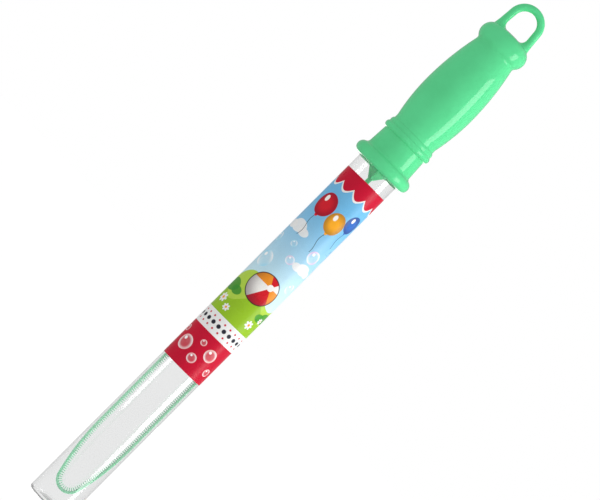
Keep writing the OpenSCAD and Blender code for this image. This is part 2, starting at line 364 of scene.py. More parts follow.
clear = clearPlastic(
    "clearPlastic", tint=(0.985, 0.988, 0.988, 1.0), palest=(0.99485, 0.99788, 0.99788, 1.0),
    roughness=0.03, bounces=4, faded=(0.75, 0.75, 0.75, 1.0))
bm = bmesh.new()
lathe(bm, tubeSection(), tube["segments"])
settle(pieceFrom(bm, "tubeShell", clear, 50.0), "tube", "clear_plastic", "tube")


# Threads: one ridge that climbs a helix and fades out at both ends

def makeThreadTree():
    tree, given, out = newGroup(
        "threadRidge",
        {"Geometry": "Geometry", "Radius": 10.0 * mm, "Pitch": 4.0 * mm, "Turns": 2.0, "Start": 0.0,
         "Lead Angle": 0.0, "Depth": 0.5 * mm, "Width": 1.0 * mm, "Material": "Material"},
        {"Geometry": "Geometry"}, "GeometryNodeTree")
    spiral = addNode(tree, "GeometryNodeCurveSpiral", {
        "Resolution": 96, "Rotations": given["Turns"], "Start Radius": given["Radius"],
        "End Radius": given["Radius"], "Height": maths(tree, "MULTIPLY", given["Pitch"], given["Turns"])})
    upright = addNode(tree, "GeometryNodeSetCurveNormal", {"Curve": spiral.outputs[0]}, mode="Z_UP")
    along = addNode(tree, "GeometryNodeSplineParameter").outputs["Factor"]
    rise = ranged(tree, along, 0.0, 0.1, 0.08, 1.0, True)
    fall = ranged(tree, along, 0.9, 1.0, 1.0, 0.08, True)
    ridge = addNode(tree, "GeometryNodeCurvePrimitiveCircle", {"Resolution": 12, "Radius": 1.0})
    oval = addNode(tree, "ShaderNodeCombineXYZ", {
        0: given["Depth"], 1: maths(tree, "MULTIPLY", given["Width"], 0.5), 2: 1.0})
    shaped = addNode(tree, "GeometryNodeTransform", {"Geometry": ridge.outputs[0], "Scale": oval.outputs[0]})
    body = addNode(tree, "GeometryNodeCurveToMesh", {
        "Curve": upright.outputs[0], "Profile Curve": shaped.outputs[0],
        "Scale": maths(tree, "MULTIPLY", rise, fall), "Fill Caps": True})
    lift = addNode(tree, "ShaderNodeCombineXYZ", {2: given["Start"]})
    lead = addNode(tree, "ShaderNodeCombineXYZ", {2: given["Lead Angle"]})
    placed = addNode(tree, "GeometryNodeTransform", {
        "Geometry": body.outputs[0], "Translation": lift.outputs[0], "Rotation": lead.outputs[0]})
    smooth = addNode(tree, "GeometryNodeSetShadeSmooth", {"Geometry": placed.outputs[0]})
    real = addNode(tree, "GeometryNodeRealizeInstances", {0: smooth.outputs[0]})
    coated = addNode(tree, "GeometryNodeSetMaterial", {
        "Geometry": real.outputs[0], "Material": given["Material"]})
    feed(tree, out["Geometry"], coated.outputs[0])
    return tree


def grown(name, tree, values, points=(), edges=()):
    # Runs a geometry tree on a line of points and keeps the mesh that it makes.
    line = bpy.data.meshes.new(name + "Line")
    line.from_pydata(points, edges, [])
    holder = bpy.data.objects.new(name, line)
    scene.collection.objects.link(holder)
    modifier = holder.modifiers.new("grow", "NODES")
    modifier.node_group = tree
    for item in tree.interface.items_tree:
        if item.item_type == "SOCKET" and item.in_out == "INPUT" and item.name in values:
            modifier[item.identifier] = values[item.name]
    evaluated = holder.evaluated_get(bpy.context.evaluated_depsgraph_get())
    mesh = bpy.data.meshes.new_from_object(evaluated)
    mesh.name = name
    holder.modifiers.clear()
    holder.data = mesh
    bpy.data.meshes.remove(line)
    bm = bmesh.new()
    bm.from_mesh(mesh)
    bmesh.ops.recalc_face_normals(bm, faces=bm.faces)
    bm.to_mesh(mesh)
    bm.free()
    return holder


threadTree = makeThreadTree()
thread = {"Pitch": 4.0 * mm, "Lead Angle": 0.4, "Depth": 0.42 * mm}
neckThread = dict(
    thread, Radius=12.96 * mm, Turns=2.4, Start=tube["height"] - 14.0 * mm, Width=1.3 * mm, Material=clear)
settle(grown("neckThread", threadTree, neckThread), "tube", "clear_plastic")


# Printed label: one sheet wrapped round the tube, its end lapped over its start at the back

labelLow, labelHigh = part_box("label")
label = {
    "low": labelLow.z, "height": labelHigh.z - labelLow.z, "inner": tubeHigh.x + 0.03 * mm,
    "thickness": 0.1 * mm, "lap": math.radians(14.0), "lift": 0.115 * mm, "columns": 240,
    "start": math.radians(83.0), "easing": 0.6, "dots": 21,
}
label["girth"] = 2 * math.pi * (label["inner"] + label["thickness"])


def makeDiscShape():
    group, given, out = newGroup(
        "discShape", {"X": 0.0, "Y": 0.0, "Centre X": 0.0, "Centre Y": 0.0, "Radius": 1.0, "Tall": 1.0},
        {"Mask": "Float", "Distance": "Float", "Angle": "Float"})
    across = maths(group, "DIVIDE", maths(group, "SUBTRACT", given["X"], given["Centre X"]), given["Radius"])
    up = maths(group, "DIVIDE", maths(group, "SUBTRACT", given["Y"], given["Centre Y"]),
               maths(group, "MULTIPLY", given["Radius"], given["Tall"]))
    squares = maths(group, "MULTIPLY_ADD", across, across, maths(group, "MULTIPLY", up, up))
    distance = maths(group, "SQRT", squares)
    inset = maths(group, "MULTIPLY", maths(group, "SUBTRACT", 1.0, distance), given["Radius"])
    feed(group, out["Mask"], maths(group, "MULTIPLY_ADD", inset, 4.0, 0.5, clamp=True))
    feed(group, out["Distance"], distance)
    feed(group, out["Angle"], maths(group, "ARCTAN2", up, across))
    return group


discShape = makeDiscShape()


def newMotif(name):
    return newGroup(
        name, {"Colour": "Color", "X": 0.0, "Y": 0.0, "Centre X": 0.0, "Centre Y": 0.0, "Radius": 3.0,
               "Tint": fullWhite}, {"Colour": "Color"})


def motifDisc(group, given, across=0.0, up=0.0, share=1.0, tall=1.0):
    # A disc inside a motif, with its place and size told in shares of the motif's radius
    return useGroup(group, discShape, {
        "X": given["X"], "Y": given["Y"], "Tall": tall,
        "Centre X": maths(group, "MULTIPLY_ADD", given["Radius"], across, given["Centre X"]),
        "Centre Y": maths(group, "MULTIPLY_ADD", given["Radius"], up, given["Centre Y"]),
        "Radius": maths(group, "MULTIPLY", given["Radius"], share)})


def makeBubbleMotif():
    group, given, out = newMotif("bubbleMotif")
    whole = motifDisc(group, given)
    rim = ranged(group, whole["Distance"], 0.55, 0.98, 0.1, 0.8, True)
    sheen = maths(group, "SINE", maths(group, "MULTIPLY", whole["Angle"], 2.0))
    film = mixed(group, ranged(group, sheen, -1.0, 1.0, 0.0, 1.0), given["Tint"], fullWhite)
    colour = mixed(group, maths(group, "MULTIPLY", whole["Mask"], rim), given["Colour"], film)
    glint = motifDisc(group, given, -0.36, 0.4, 0.22)
    feed(group, out["Colour"], mixed(group, glint["Mask"], colour, fullWhite))
    return group


def makeDaisyMotif():
    group, given, out = newMotif("daisyMotif")
    whole = motifDisc(group, given)
    # Half of seven waves a turn, folded up, gives seven petals.
    lobes = maths(group, "ABSOLUTE", maths(group, "COSINE", maths(group, "MULTIPLY", whole["Angle"], 3.5)))
    reach = maths(group, "MULTIPLY_ADD", lobes, 0.45, 0.55)
    petal = maths(group, "MULTIPLY", maths(group, "SUBTRACT", reach, whole["Distance"]), given["Radius"])
    petals = maths(group, "MULTIPLY_ADD", petal, 4.0, 0.5, clamp=True)
    colour = mixed(group, petals, given["Colour"], given["Tint"])
    eye = motifDisc(group, given, share=0.3)
    feed(group, out["Colour"], mixed(group, eye["Mask"], colour, (0.9, 0.36, 0.02, 1.0)))
    return group


def makeBalloonMotif():
    group, given, out = newMotif("balloonMotif")
    # A thin string sways down from the balloon.
    drop = maths(group, "SUBTRACT", given["Centre Y"], given["Y"])
    sway = maths(group, "MULTIPLY", maths(group, "SINE", maths(group, "MULTIPLY", drop, 0.42)), 0.7)
    across = maths(group, "SUBTRACT", given["X"], given["Centre X"])
    aside = maths(group, "ABSOLUTE", maths(group, "SUBTRACT", across, sway))
    thin = maths(group, "MULTIPLY_ADD", aside, -4.0, 1.1, clamp=True)
    below = maths(group, "GREATER_THAN", drop, given["Radius"])
    above = maths(group, "LESS_THAN", drop, maths(group, "MULTIPLY", given["Radius"], 3.6))
    string = maths(group, "MULTIPLY", thin, maths(group, "MULTIPLY", below, above))
    colour = mixed(group, string, given["Colour"], (0.02, 0.03, 0.06, 1.0))
    knot = motifDisc(group, given, up=-1.22, share=0.16)
    colour = mixed(group, knot["Mask"], colour, given["Tint"])
    whole = motifDisc(group, given, tall=1.2)
    shade = ranged(group, whole["Distance"], 0.3, 1.0, 0.0, 0.45, True)
    skin = mixed(group, shade, given["Tint"], (0.03, 0.0, 0.02, 1.0))
    colour = mixed(group, whole["Mask"], colour, skin)
    glint = motifDisc(group, given, -0.35, 0.5, 0.2, 1.6)
    feed(group, out["Colour"], mixed(group, glint["Mask"], colour, (1.0, 0.95, 0.9, 1.0)))
    return group


def makeBallMotif():
    group, given, out = newMotif("ballMotif")
    whole = motifDisc(group, given)
    # Six panels in three colours meet at a pole that is turned a little aside.
    pole = motifDisc(group, given, 0.3, 0.35)
    turn = maths(group, "MULTIPLY_ADD", pole["Angle"], 3.0 / math.pi, 6.0)
    panel = maths(group, "MODULO", maths(group, "FLOOR", turn), 3.0)
    first = maths(group, "LESS_THAN", panel, 0.5)
    last = maths(group, "GREATER_THAN", panel, 1.5)
    colour = mixed(group, first, given["Tint"], (0.92, 0.9, 0.86, 1.0))
    colour = mixed(group, last, colour, (0.9, 0.3, 0.02, 1.0))
    cap = maths(group, "LESS_THAN", pole["Distance"], 0.2)
    colour = mixed(group, cap, colour, (0.95, 0.93, 0.9, 1.0))
    shade = ranged(group, pole["Distance"], 0.5, 1.5, 0.0, 0.6, True)
    colour = mixed(group, shade, colour, (0.06, 0.01, 0.03, 1.0))
    edge = ranged(group, whole["Distance"], 0.93, 0.96, 0.0, 1.0)
    colour = mixed(group, edge, colour, (0.015, 0.012, 0.02, 1.0))
    feed(group, out["Colour"], mixed(group, whole["Mask"], given["Colour"], colour))
    return group


def makePuffMotif():
    # Three soft discs in a row, for a cloud or a bush
    group, given, out = newMotif("puffMotif")
    colour = given["Colour"]
    for across, up, share in ((-0.95, -0.12, 0.7), (0.95, -0.16, 0.62), (0.0, 0.1, 1.0)):
        disc = motifDisc(group, given, across, up, share, 0.72)
        colour = mixed(group, maths(group, "MULTIPLY", disc["Mask"], 0.92), colour, given["Tint"])
    feed(group, out["Colour"], colour)
    return group


motifs = {
    "bubble": makeBubbleMotif(), "daisy": makeDaisyMotif(), "balloon": makeBalloonMotif(),
    "ball": makeBallMotif(), "puff": makePuffMotif(),
}
red = (0.59, 0.001, 0.029, 1.0)
white = (0.88, 0.88, 0.87, 1.0)
ink = (0.02, 0.02, 0.035, 1.0)
rose = (1.0, 0.7, 0.7, 1.0)
pink = (0.9, 0.6, 0.8, 1.0)
aqua = (0.4, 0.8, 0.95, 1.0)
leaf = (0.5, 0.85, 0.7, 1.0)

# Heights and sizes in millimetres, up from the label's foot
design = {
    "skyLow": 45.0, "skyHigh": 125.0, "skyPale": (0.66, 0.88, 0.94, 1.0), "skyDeep": (0.17, 0.50, 0.80, 1.0),
    "foot": 24.6, "strip": 35.8, "dotLine": 30.2, "dot": 1.25, "speckLines": (33.2, 27.2), "speck": 0.6,
    "head": 132.5, "scallop": 4.0, "scallops": 10, "piping": 1.2,
}
hills = [
    {"base": 60.0, "swing": 6.0, "waves": 2, "lag": 2.4, "tint": (0.46, 0.68, 0.07, 1.0)},
    {"base": 50.0, "swing": 5.0, "waves": 3, "lag": 0.3, "tint": (0.31, 0.55, 0.02, 1.0)},
]

# Motifs as (kind, x, y, radius, tint): millimetres round from the front and up from the label's foot
skyMotifs = [
    ("puff", -9.0, 99.0, 5.5, white), ("puff", 12.0, 83.0, 4.6, white), ("puff", 33.0, 104.0, 6.0, white),
    ("puff", -32.0, 86.0, 5.0, white),
]
groundMotifs = [
    ("puff", -14.0, 52.0, 6.0, (0.05, 0.30, 0.03, 1.0)), ("puff", 19.0, 49.0, 5.0, (0.06, 0.33, 0.03, 1.0)),
    ("ball", 2.5, 61.0, 9.6, (0.68, 0.01, 0.02, 1.0)), ("ball", -34.0, 57.0, 7.5, (0.02, 0.2, 0.62, 1.0)),
    ("daisy", -11.5, 43.5, 3.0, white), ("daisy", -5.0, 40.5, 2.3, white), ("daisy", 12.0, 42.0, 2.8, white),
    ("daisy", 17.0, 47.5, 2.0, white), ("daisy", 27.0, 43.0, 2.8, white), ("daisy", -23.0, 41.5, 2.6, white),
]
airMotifs = [
    ("balloon", -6.0, 117.5, 6.2, (0.70, 0.01, 0.025, 1.0)),
    ("balloon", 5.5, 113.0, 5.6, (0.95, 0.42, 0.02, 1.0)),
    ("balloon", 14.5, 119.0, 4.8, (0.04, 0.16, 0.55, 1.0)),
    ("balloon", -36.0, 112.0, 6.0, (0.9, 0.4, 0.02, 1.0)),
    ("bubble", -10.0, 74.0, 5.2, (0.35, 0.75, 0.95, 1.0)),
    ("bubble", 11.0, 92.0, 4.0, (0.9, 0.55, 0.8, 1.0)),
    ("bubble", -15.5, 88.0, 3.0, (0.4, 0.8, 0.9, 1.0)), ("bubble", 15.0, 71.0, 3.2, leaf),
    ("bubble", 2.0, 82.5, 2.6, pink), ("bubble", -3.0, 90.5, 1.9, aqua), ("bubble", 25.0, 92.0, 5.0, aqua),
    ("bubble", -25.0, 72.0, 4.4, pink), ("bubble", 37.0, 75.0, 4.8, leaf),
]
bandMotifs = [
    ("bubble", -8.0, 12.0, 4.6, rose), ("bubble", 1.5, 8.0, 2.8, rose),
    ("bubble", 8.5, 15.5, 3.8, (1.0, 0.75, 0.7, 1.0)), ("bubble", 15.0, 7.5, 2.4, rose),
    ("bubble", -15.5, 18.5, 2.2, rose), ("bubble", 0.5, 18.5, 1.8, rose), ("bubble", 26.0, 13.0, 4.2, rose),
    ("bubble", -27.0, 9.5, 3.6, rose), ("bubble", 37.0, 9.0, 3.0, rose),
]


def printedLabel():
    material, tree, principled, coords = newMaterial("printedLabel")
    sheet = addNode(tree, "ShaderNodeSeparateXYZ", {0: coords["UV"]})
    # The design meets itself at the lap, which repeats what lies under it.
    half = label["girth"] / 2 / mm
    turn = math.pi / half
    x = maths(tree, "WRAP", maths(tree, "MULTIPLY_ADD", sheet.outputs[0], 2 * half, -half), half, -half)
    y = maths(tree, "MULTIPLY", sheet.outputs[1], label["height"] / mm)

    def stamped(colour, rows):
        for kind, across, up, radius, tint in rows:
            colour = useGroup(tree, motifs[kind], {
                "Colour": colour, "X": x, "Y": y, "Centre X": across, "Centre Y": up,
                "Radius": radius, "Tint": tint})["Colour"]
        return colour

    height = ranged(tree, y, design["skyLow"], design["skyHigh"], 0.0, 1.0, True)
    colour = mixed(tree, height, design["skyPale"], design["skyDeep"])
    colour = stamped(colour, skyMotifs)
    for hill in hills:
        wave = maths(tree, "SINE", maths(tree, "MULTIPLY_ADD", x, hill["waves"] * turn, hill["lag"]))
        top = maths(tree, "MULTIPLY_ADD", wave, hill["swing"], hill["base"])
        mask = maths(tree, "MULTIPLY_ADD", maths(tree, "SUBTRACT", top, y), 3.0, 0.5, clamp=True)
        colour = mixed(tree, mask, colour, hill["tint"])
    colour = stamped(colour, groundMotifs)
    colour = stamped(colour, airMotifs)

    # Red foot with bubbles, a white strip with dots, and a scalloped red head
    colour = mixed(tree, maths(tree, "LESS_THAN", y, design["strip"]), colour, white)
    colour = mixed(tree, maths(tree, "LESS_THAN", y, design["foot"]), colour, stamped(red, bandMotifs))
    pitch = 2 * half / label["dots"]
    row = maths(tree, "WRAP", x, pitch / 2, -pitch / 2)
    dot = useGroup(tree, discShape, {
        "X": row, "Y": y, "Centre Y": design["dotLine"], "Radius": design["dot"]})
    colour = mixed(tree, dot["Mask"], colour, ink)
    between = maths(tree, "WRAP", maths(tree, "ADD", x, pitch / 2), pitch / 2, -pitch / 2)
    for high in design["speckLines"]:
        speck = useGroup(tree, discShape, {
            "X": between, "Y": y, "Centre Y": high, "Radius": design["speck"]})
        colour = mixed(tree, speck["Mask"], colour, red)
    lobes = maths(tree, "SINE", maths(tree, "MULTIPLY", x, design["scallops"] / 2 * turn))
    edge = maths(tree, "MULTIPLY_ADD", maths(tree, "ABSOLUTE", lobes), -design["scallop"], design["head"])
    colour = mixed(tree, maths(tree, "GREATER_THAN", y, edge), colour, white)
    inner = maths(tree, "ADD", edge, design["piping"])
    colour = mixed(tree, maths(tree, "GREATER_THAN", y, inner), colour, red)

    # The back of the sheet is bare, and the ink has a faint screen of its own.
    printed = addNode(tree, "ShaderNodeAttribute", attribute_name="printed")
    colour = mixed(tree, printed.outputs["Fac"], (0.8, 0.8, 0.79, 1.0), colour)
    screen = addNode(tree, "ShaderNodeTexNoise", {
        "Vector": coords["Object"], "Scale": 2400.0, "Detail": 1.0})
    faint = ranged(tree, screen.outputs[0], 0.3, 0.7, 0.93, 1.0)
    tone = addNode(tree, "ShaderNodeCombineXYZ", {0: faint, 1: faint, 2: faint})
    feed(tree, principled.inputs["Base Color"], mixed(tree, 1.0, colour, tone.outputs[0], "MULTIPLY"))
    marks = useGroup(tree, scuffs, {"Vector": coords["Object"], "Amount": 0.5})
    skin = useGroup(tree, mouldedSkin, {"Vector": coords["Object"], "Flow Scale": 50.0, "Roughness": 0.3})
    principled.inputs["Specular IOR Level"].default_value = 0.2
    worn = maths(tree, "MULTIPLY_ADD", marks["Mask"], 0.2, skin["Roughness"], clamp=True)
    surfaceFinish(tree, principled, worn, 0.1, 0.03 * mm, skin["Height"])
    return material


def labelSheet():
    bm = bmesh.new()
    uv = bm.loops.layers.uv.new("sheet")
    printed = bm.faces.layers.float.new("printed")
    sweep = 2 * math.pi + label["lap"]
    easing = label["easing"] * label["lap"]
    columns = []
    for i in range(label["columns"] + 1):
        share = i / label["columns"]
        turned = sweep * share
        # The sheet eases outwards just before it reaches its own start.
        rise = easing + turned - sweep + label["lap"]
        over = min(1.0, max(0.0, rise / easing))
        inner = label["inner"] + label["lift"] * over * over * (3 - 2 * over)
        a = label["start"] + turned
        ring = []
        for r, z in ((inner, 0.0), (inner + label["thickness"], 0.0),
                     (inner + label["thickness"], 1.0), (inner, 1.0)):
            ring.append(bm.verts.new((
                r * math.cos(a), r * math.sin(a), label["low"] + z * label["height"])))
        columns.append((share * sweep / (2 * math.pi), ring))
    for (u0, low), (u1, high) in zip(columns, columns[1:]):
        for k in range(4):
            n = (k + 1) % 4
            face = bm.faces.new((low[k], high[k], high[n], low[n]))
            face[printed] = 1.0 if k == 1 else 0.0
            for loop, u, v in zip(face.loops, (u0, u1, u1, u0), (k, k, n, n)):
                loop[uv].uv = (u, 1.0 if v in (2, 3) else 0.0)
    for ring in (columns[0][1], columns[-1][1][::-1]):
        bm.faces.new(ring)
    return bm


settle(pieceFrom(labelSheet(), "labelSheet", printedLabel()), "tube", "printed_label", "label")


# Foam washer between the tube's lip and the stopper

washerLow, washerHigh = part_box("seal_washer")
washer = {
    "inner": 12.25 * mm, "outer": washerHigh.x, "low": washerLow.z, "high": washerHigh.z,
    "round": 0.3 * mm, "segments": 128,
}


def sealFoam():
    material, tree, principled, coords = newMaterial("sealFoam")
    cells = addNode(tree, "ShaderNodeTexVoronoi", {"Vector": coords["Object"], "Scale": 3200.0})
    skin = useGroup(tree, mouldedSkin, {"Vector": coords["Object"], "Flow Scale": 220.0, "Roughness": 0.8})
    feed(tree, principled.inputs["Base Color"],
         mixed(tree, skin["Shade"], (0.72, 0.72, 0.70, 1.0), (0.82, 0.82, 0.80, 1.0)))
    surfaceFinish(tree, principled, skin["Roughness"], 0.5, 0.08 * mm, cells.outputs["Distance"])
    return material


def roundedBox(left, right, low, high, r, steps=5):
    return (arcPoints(right - r, low + r, r, -90, 0, steps)
            + arcPoints(right - r, high - r, r, 0, 90, steps)
            + arcPoints(left + r, high - r, r, 90, 180, steps)
            + arcPoints(left + r, low + r, r, 180, 270, steps))


washerSection = roundedBox(
    washer["inner"], washer["outer"], washer["low"], washer["high"], washer["round"])
bm = bmesh.new()
lathe(bm, washerSection, washer["segments"])
settle(pieceFrom(bm, "sealWasher", sealFoam()), "seal", "seal_foam", "seal_washer")


# Stopper: a cup with a snap disc, and a boss that holds the wand's tang

stopperLow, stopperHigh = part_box("stopper")
stopper = {
    "low": stopperLow.z, "high": stopperHigh.z, "disc": stopperHigh.x, "spigot": 12.1 * mm, "wall": 1.2 * mm,
    "floor": 2.0 * mm, "discHeight": 2.0 * mm, "boss": 4.24 * mm, "bore": 3.04 * mm, "boreHeight": 8.04 * mm,
    "round": 0.3 * mm, "beads": (4.0 * mm, 8.5 * mm), "beadRise": 0.14 * mm, "beadTop": 0.25 * mm,
    "beadFoot": 0.7 * mm, "segments": 128,
}


def stopperSection():
    s = stopper
    e = s["round"]
    seat = s["high"] - s["discHeight"]
    inner = s["spigot"] - s["wall"]
    floor = s["low"] + s["floor"]
    boreTop = s["low"] + s["boreHeight"]
    bossTop = boreTop + s["wall"]
    corners = [(s["bore"], s["low"]), (s["spigot"] - e, s["low"]), (s["spigot"], s["low"] + e)]
    # Two shallow sealing beads go round the spigot.
    for bead in s["beads"]:
        z = s["low"] + bead
        crest = s["spigot"] + s["beadRise"]
        corners += [(s["spigot"], z - s["beadFoot"]), (crest, z - s["beadTop"]),
                    (crest, z + s["beadTop"]), (s["spigot"], z + s["beadFoot"])]
    corners += [(s["spigot"], seat), (s["disc"] - e, seat), (s["disc"], seat + e),
                (s["disc"], s["high"] - e), (s["disc"] - e, s["high"]), (inner + e, s["high"]),
                (inner, s["high"] - e), (inner, floor), (s["boss"], floor), (s["boss"], bossTop - e),
                (s["boss"] - e, bossTop), (0.0, bossTop), (0.0, boreTop), (s["bore"], boreTop)]
    return corners


stopperMint = mintPlastic(
    "mintStopper", deep=(0.082, 0.53, 0.22, 1.0), light=(0.098, 0.58, 0.25, 1.0),
    roughness=0.32, flowScale=90.0, scuffAmount=0.2, bump=0.2)
bm = bmesh.new()
lathe(bm, stopperSection(), stopper["segments"])
settle(pieceFrom(bm, "stopperCup", stopperMint), "wand", "mint_plastic", "stopper")


# Wand: a flat loop lined with teeth that hold the solution, a stem, and a four-sided root under the stopper

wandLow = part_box("wand")[0]
wand = {
    "tip": wandLow.z, "loop": 150.0 * mm, "half": 12.1 * mm, "end": 7.8 * mm, "taper": 42.0 * mm,
    "band": 1.5 * mm, "depth": 3.0 * mm, "bandRound": 0.35 * mm, "tooth": 1.5 * mm, "pitch": 1.25 * mm,
    "toothWidth": 0.6 * mm, "toothTip": 0.6, "tipGrowth": 1.8, "lineStep": 0.5 * mm,
    "stem": 2.7 * mm, "stemRound": 0.4 * mm, "flare": 2.4 * mm, "flareHeight": 5.0 * mm,
    "rootHeight": 15.9 * mm, "rootHalf": 11.85 * mm, "rootPoint": 0.04, "rootPower": 1.08,
    "tang": 6.0 * mm, "tangHeight": 8.0 * mm, "tangSink": 0.5 * mm, "tangEdge": 0.4 * mm,
}


def loopLine(inset, spacing):
    # The loop's outline drawn in by an inset: two end arcs and two long flanks on each side
    run = wand["taper"] - wand["end"]
    flank = (wand["half"] ** 2 + run ** 2 - wand["end"] ** 2) / (2 * (wand["half"] - wand["end"]))
    flankX = wand["half"] - flank
    turn = math.degrees(math.atan2(run, -flankX))
    low, high = wand["tip"], wand["tip"] + wand["loop"]
    right = (arcPoints(0.0, low + wand["end"], wand["end"] - inset, -90, -turn, 40)
             + arcPoints(flankX, low + wand["taper"], flank - inset, -turn, 0, 60)
             + arcPoints(flankX, high - wand["taper"], flank - inset, 0, turn, 60)
             + arcPoints(0.0, high - wand["end"], wand["end"] - inset, turn, 90, 40))
    right = evenPoints(right, spacing)
    return right + [(-x, y) for x, y in right[-2:0:-1]]


def makeLoopTree():
    tree, given, out = newGroup(
        "toothedLoop",
        {"Geometry": "Geometry", "Band Width": 1.5 * mm, "Band Depth": 3.0 * mm, "Band Round": 0.3 * mm,
         "Tooth Length": 1.5 * mm, "Tooth Width": 0.6 * mm, "Tooth Tip Share": 0.6, "Tooth Pitch": 1.25 * mm,
         "Tip Growth": 1.4, "Tip Height": 10.0 * mm, "Material": "Material"},
        {"Geometry": "Geometry"}, "GeometryNodeTree")
    curve = addNode(tree, "GeometryNodeMeshToCurve", {"Mesh": given["Geometry"]})
    flat = addNode(tree, "GeometryNodeSetCurveNormal", {"Curve": curve.outputs[0]}, mode="Z_UP")
    outline = addNode(tree, "GeometryNodeCurvePrimitiveQuadrilateral", {
        "Width": given["Band Width"], "Height": given["Band Depth"]})
    soft = addNode(tree, "GeometryNodeFilletCurve", {
        "Curve": outline.outputs[0], "Count": 3, "Radius": given["Band Round"]}, mode="POLY")
    band = addNode(tree, "GeometryNodeCurveToMesh", {
        "Curve": flat.outputs[0], "Profile Curve": soft.outputs[0]})
    # The teeth are spaced along a line through their middles, so that they don't crowd at the tip.
    tangent = addNode(tree, "GeometryNodeInputTangent").outputs[0]
    inward = addNode(tree, "ShaderNodeVectorMath", {0: (0.0, 0.0, 1.0), 1: tangent},
                     operation="CROSS_PRODUCT")
    reach = maths(tree, "MULTIPLY", maths(tree, "ADD", given["Band Width"], given["Tooth Length"]), 0.5)
    drawn = addNode(tree, "ShaderNodeVectorMath", {0: inward.outputs[0], "Scale": reach}, operation="SCALE")
    middle = addNode(tree, "GeometryNodeSetPosition", {
        "Geometry": flat.outputs[0], "Offset": drawn.outputs[0]})
    spaced = addNode(tree, "GeometryNodeResampleCurve", {
        "Curve": middle.outputs[0], "Length": given["Tooth Pitch"]}, mode="LENGTH")
    aim = addNode(tree, "FunctionNodeAxesToRotation", {
        "Primary Axis": inward.outputs[0], "Secondary Axis": tangent}, primary_axis="Z", secondary_axis="X")
    corner = maths(tree, "MULTIPLY", given["Tooth Width"], math.sqrt(0.5))
    cone = addNode(tree, "GeometryNodeMeshCone", {
        "Vertices": 4, "Radius Bottom": corner, "Depth": given["Tooth Length"],
        "Radius Top": maths(tree, "MULTIPLY", corner, given["Tooth Tip Share"])})
    square = addNode(tree, "GeometryNodeTransform", {
        "Geometry": cone.outputs[0], "Rotation": (0.0, 0.0, math.radians(45.0))})
    facets = addNode(tree, "GeometryNodeSetShadeSmooth", {
        "Geometry": square.outputs[0], "Shade Smooth": False})
    deep = maths(tree, "MULTIPLY", maths(tree, "DIVIDE", given["Band Depth"], given["Tooth Width"]), 0.86)
    stretch = addNode(tree, "ShaderNodeCombineXYZ", {0: 1.0, 1: deep, 2: 1.0})
    tooth = addNode(tree, "GeometryNodeTransform", {
        "Geometry": facets.outputs[0], "Scale": stretch.outputs[0]})
    # The teeth grow longer towards the tip.
    position = addNode(tree, "GeometryNodeInputPosition").outputs[0]
    place = addNode(tree, "ShaderNodeSeparateXYZ", {0: position})
    above = maths(tree, "SUBTRACT", place.outputs[1], given["Tip Height"])
    longer = ranged(tree, above, 1.0 * mm, 12.0 * mm, given["Tip Growth"], 1.0, True)
    scale = addNode(tree, "ShaderNodeCombineXYZ", {0: 1.0, 1: 1.0, 2: longer})
    teeth = addNode(tree, "GeometryNodeInstanceOnPoints", {
        "Points": spaced.outputs[0], "Instance": tooth.outputs[0], "Rotation": aim.outputs[0],
        "Scale": scale.outputs[0]})
    step = addNode(tree, "ShaderNodeCombineXYZ", {2: maths(tree, "MULTIPLY", given["Tooth Length"], -0.56)})
    inset = addNode(tree, "GeometryNodeTranslateInstances", {
        "Instances": teeth.outputs[0], "Translation": step.outputs[0], "Local Space": True})
    both = addNode(tree, "GeometryNodeJoinGeometry")
    tree.links.new(band.outputs[0], both.inputs[0])
    tree.links.new(inset.outputs[0], both.inputs[0])
    upright = addNode(tree, "GeometryNodeTransform", {
        "Geometry": both.outputs[0], "Rotation": (math.radians(90.0), 0.0, 0.0)})
    real = addNode(tree, "GeometryNodeRealizeInstances", {0: upright.outputs[0]})
    coated = addNode(tree, "GeometryNodeSetMaterial", {
        "Geometry": real.outputs[0], "Material": given["Material"]})
    feed(tree, out["Geometry"], coated.outputs[0])
    return tree


def stemRings():
    # Rounded bars up the stem, closer together where it flares into the loop
    low = wand["tip"] + wand["loop"] - wand["band"]
    high = stopper["low"] - wand["rootHeight"] * 0.4
    deep = wand["depth"] / 2
    steps = 32
    rings = []
    for i in range(steps + 1):
        z = low + (high - low) * (i / steps) ** 1.8
        flare = max(0.0, 1.0 - (z - low) / wand["flareHeight"])
        half = wand["stem"] / 2 + wand["flare"] * flare ** 2.4
        bar = roundedBox(-half, half, -deep, deep, wand["stemRound"], 3)
        rings.append([(x, y, z) for x, y in bar])
    return rings


def rootRings():
    # A pyramid on its point, with its edges turned to the front and sides and a little rounded
    low = stopper["low"] - wand["rootHeight"]
    point, power = wand["rootPoint"], wand["rootPower"]
    steps, sides = 24, 96
    turns = [2 * math.pi * k / sides for k in range(sides)]
    rings = []
    for i in range(steps + 1):
        share = point + (1.0 - point) * i / steps
        ring = []
        for a in turns:
            c, s = math.cos(a), math.sin(a)
            reach = wand["rootHalf"] * share / (abs(c) ** power + abs(s) ** power) ** (1 / power)
            ring.append((reach * c, reach * s, low + wand["rootHeight"] * share))
        rings.append(ring)
    return rings


